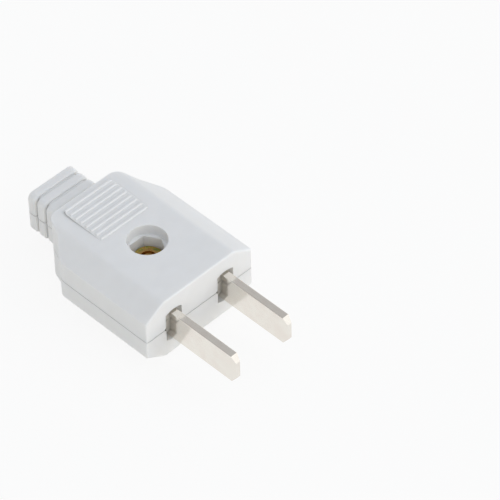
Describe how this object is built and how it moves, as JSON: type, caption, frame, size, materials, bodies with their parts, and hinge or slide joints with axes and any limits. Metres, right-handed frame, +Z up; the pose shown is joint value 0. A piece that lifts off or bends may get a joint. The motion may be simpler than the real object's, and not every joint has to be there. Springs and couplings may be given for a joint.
{
  "type": "flat pin plug",
  "caption": "Rewireable mains plug with flat parallel blades, a split moulded body drawn together by a screw and sunk nut, ribbed grip pads and a ringed cable tail.",
  "frame": {"origin": "middle of the mating face, level with the middle of the blades", "axes": "+X across the blades, +Y from the blades towards the cable tail, +Z up, square to the parting plane"},
  "size_m": [0.026, 0.055, 0.0148],
  "materials": {
    "shell_plastic": "white moulded plastic, satin",
    "blade_nickel": "nickel plated, polished",
    "screw_steel": "bright zinc",
    "zinc_steel": "yellow passivated zinc"
  },
  "bodies": {
    "root": {"upper_shell": "shell_plastic", "lower_shell": "shell_plastic", "left_blade": "blade_nickel", "right_blade": "blade_nickel", "left_terminal_screw": "screw_steel", "right_terminal_screw": "screw_steel", "left_terminal_washer": "screw_steel", "right_terminal_washer": "screw_steel", "case_screw": "zinc_steel", "case_nut": "zinc_steel"}
  },
  "joints": []
}
